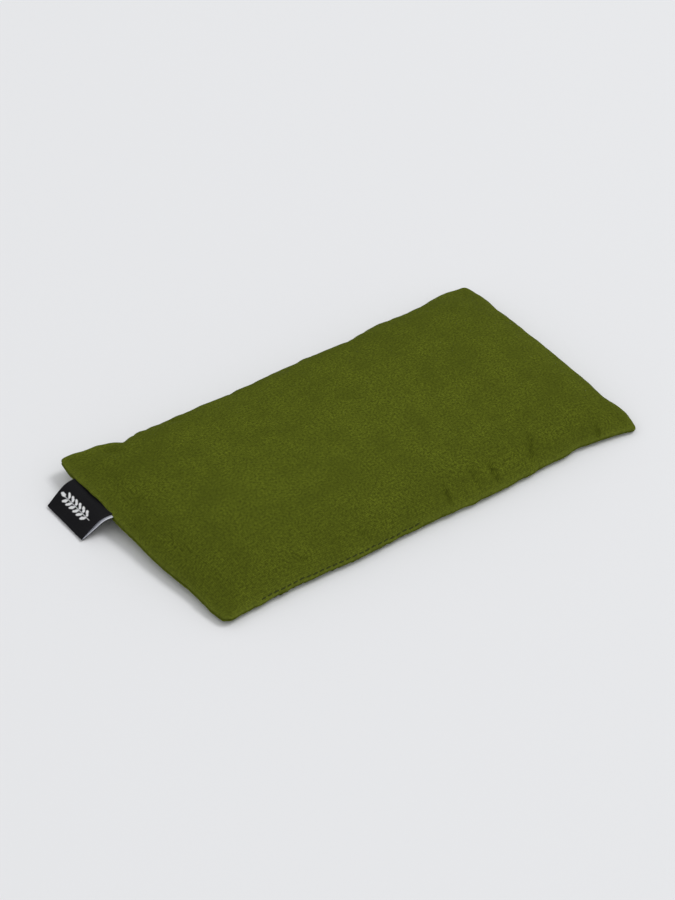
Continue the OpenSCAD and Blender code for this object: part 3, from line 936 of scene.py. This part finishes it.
def grid_piece(name, node, face, u, v, side, slot, material):
    """A cloth piece on a grid, given its thickness inwards."""
    faces = quads(np.arange(u.size).reshape(u.shape))
    cut = np.stack([u * cut_length / 2, v * cut_width / 2], -1).reshape(-1, 2) / MM
    piece = make_piece(name, face.reshape(-1, 3), (faces if side > 0 else faces[:, ::-1]).tolist(),
                       slot, cloth=cut)
    piece.data.materials.append(material)
    thicken(piece, 0.25 * MM)
    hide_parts(node)
    return piece


calico = calico_cloth()
liner_inset, liner_allowance = 6.6 * MM, 4 * MM
for name, node, side in (("calico_top", "liner_top", 1), ("calico_bottom", "liner_bottom", -1)):
    face, u, v = inner_face(side, liner_inset, 0.35 * MM, liner_allowance, 0.35 * MM)
    grid_piece(name, node, face, u, v, side, "calico", calico)

white_thread = twisted_thread("undyed_thread", (0.55, 0.52, 0.46), (0.78, 0.75, 0.68))
loop_rim = rim_of(201, 121)
loop_u, loop_v = np.meshgrid(np.linspace(-1, 1, 201), np.linspace(-1, 1, 121), indexing="ij")
stitch_inset = liner_inset + liner_allowance - 0.5 * MM
loop_u = loop_u.ravel()[loop_rim] * (1 - stitch_inset / half_length)
loop_v = loop_v.ravel()[loop_rim] * (1 - stitch_inset / half_width)
running_seam("calico_lockstitch", "liner_seam_thread", np.stack(seam_sheet(loop_u, loop_v), -1),
             white_thread, "liner_thread", 0.16 * MM, 0.4 * MM)


def liner_closing():
    """A straight row of stitches through both allowances, across the end away from the label."""
    count = 16
    v = (np.arange(count) - (count - 1) / 2) * stitch_pitch / half_width
    step = np.linspace(-1, 1, 11)
    v = v[:, None] + step * 1.15 * MM / half_width
    u = np.full_like(v, 1 - (liner_inset + 1.8 * MM) / half_length)
    centre = np.stack(seam_sheet(u, v), -1)
    rows = []
    for side in (1, -1):
        arch = side * (0.62 - 0.5 * step**4) * MM
        rows.append(centre + np.stack([0 * arch, 0 * arch, arch], -1))
    points, faces, uv = tubes(np.concatenate(rows), np.array([0, 0, 1.0]), 0.18 * MM, 8)
    piece = make_piece("calico_closing_stitches", points, faces, "liner_thread", thread=uv)
    piece.data.materials.append(white_thread)
    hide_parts("liner_closing_thread")


liner_closing()


# --------------------------------------------
# The filling: loose whole linseed with dried lavender buds, poured into the inner bag. It
# takes the bag's shape, so it is one closed body here, with the grain on its surface.


def grain():
    """Brown glossy linseed: a cell pattern of flat seeds, and here and there a lavender bud."""
    made, tree, shader = new_material("linseed_and_lavender")
    body = place(tree, "ShaderNodeTexCoord").outputs["Object"]
    seeds = place(tree, "ShaderNodeTexVoronoi", {"Vector": body, "Scale": 420.0})
    edges = place(tree, "ShaderNodeTexVoronoi", {"Vector": body, "Scale": 420.0},
                  feature="DISTANCE_TO_EDGE")
    kind = place(tree, "ShaderNodeSeparateColor", {0: seeds.outputs["Color"]})
    colour = shade(tree, kind.outputs[0], (0.10, 0.035, 0.010), (0.24, 0.10, 0.03))
    bud = sums(tree, "GREATER_THAN", kind.outputs[1], 0.93)
    colour = shade(tree, bud, colour, (0.16, 0.13, 0.25))
    rounded = sums(tree, "POWER", stretch_to(tree, edges.outputs["Distance"], 0, 0.35, 0, 1), 0.5)
    cover_with(tree, shader, colour, stretch_to(tree, kind.outputs[2], 0, 1, 0.25, 0.45),
               rounded, 1.0, 0.8 * MM)
    return made


def poured_grain():
    """A closed body between two grids that meet along the stitch line. Its skin is pitted by
    single seeds, as fine random lumps."""
    inset = liner_inset + liner_allowance + 0.8 * MM
    grids = []
    for side in (1, -1):
        face, u, v = inner_face(side, inset, 0.9 * MM, 0.0, 0.0)
        fade = np.clip(np.minimum(1 - np.abs(u), 1 - np.abs(v)) / 0.08, 0, 1)
        pits = lumps(face[..., 0], face[..., 1], 1.9 * MM, 200 + side)
        face[..., 2] += side * 0.10 * MM * (pits - 1.6) * fade
        grids.append(face)
    _, _, inner, faces = joined_grids(u.shape)
    points = np.concatenate([grids[0].reshape(-1, 3), grids[1][inner]])
    piece = make_piece("linseed_filling", points, faces.tolist(), "grain")
    piece.data.materials.append(grain())
    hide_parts("filling")


poured_grain()
